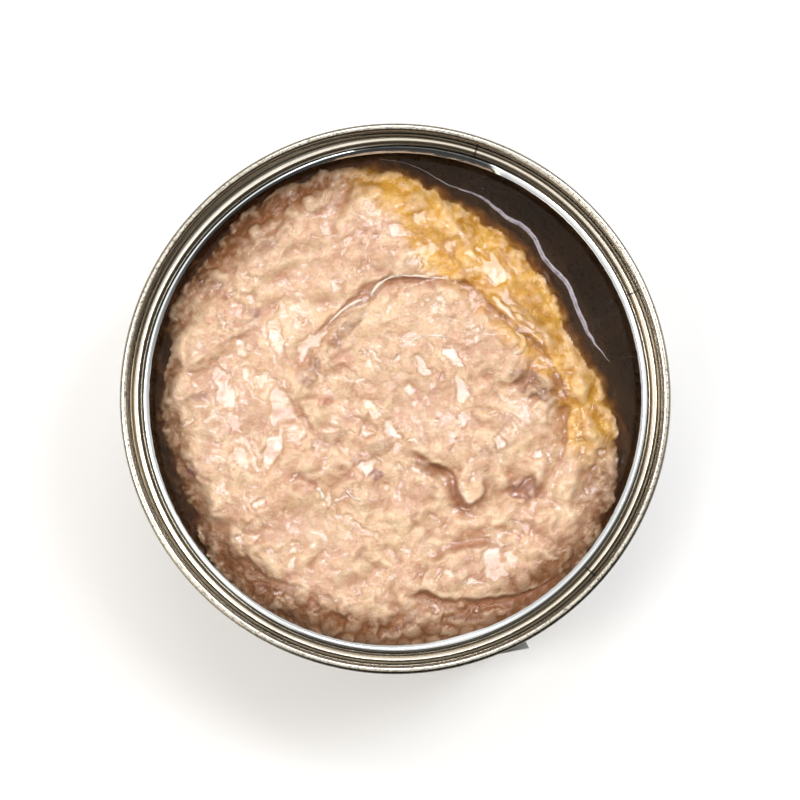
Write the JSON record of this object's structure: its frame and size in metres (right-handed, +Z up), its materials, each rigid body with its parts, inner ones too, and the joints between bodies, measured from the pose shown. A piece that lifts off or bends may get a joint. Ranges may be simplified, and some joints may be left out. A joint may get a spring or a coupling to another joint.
{
  "type": "opened cat food can",
  "caption": "Round drawn steel food can with its easy-open panel torn off, a paper label, and a swirled mound of minced meat in broth.",
  "frame": {"origin": "centre of the circle that the can stands on, at the foot's lowest point", "axes": "+Z up out of the mouth; +X to the right and +Y away, as the can is seen from above with the widest pool of broth at the upper right"},
  "size_m": [0.0873, 0.0872, 0.0397],
  "materials": {
    "can_body": "bright tinplate, drawn",
    "end_ring": "bright tinplate, scuffed along the crown",
    "label": "plain matt paper",
    "meat": "minced meat, wet",
    "broth": "clear dark broth, glossy"
  },
  "bodies": {
    "root": {"can_body": "can_body", "end_ring": "end_ring", "label": "label", "meat": "meat", "broth": "broth"}
  },
  "joints": []
}
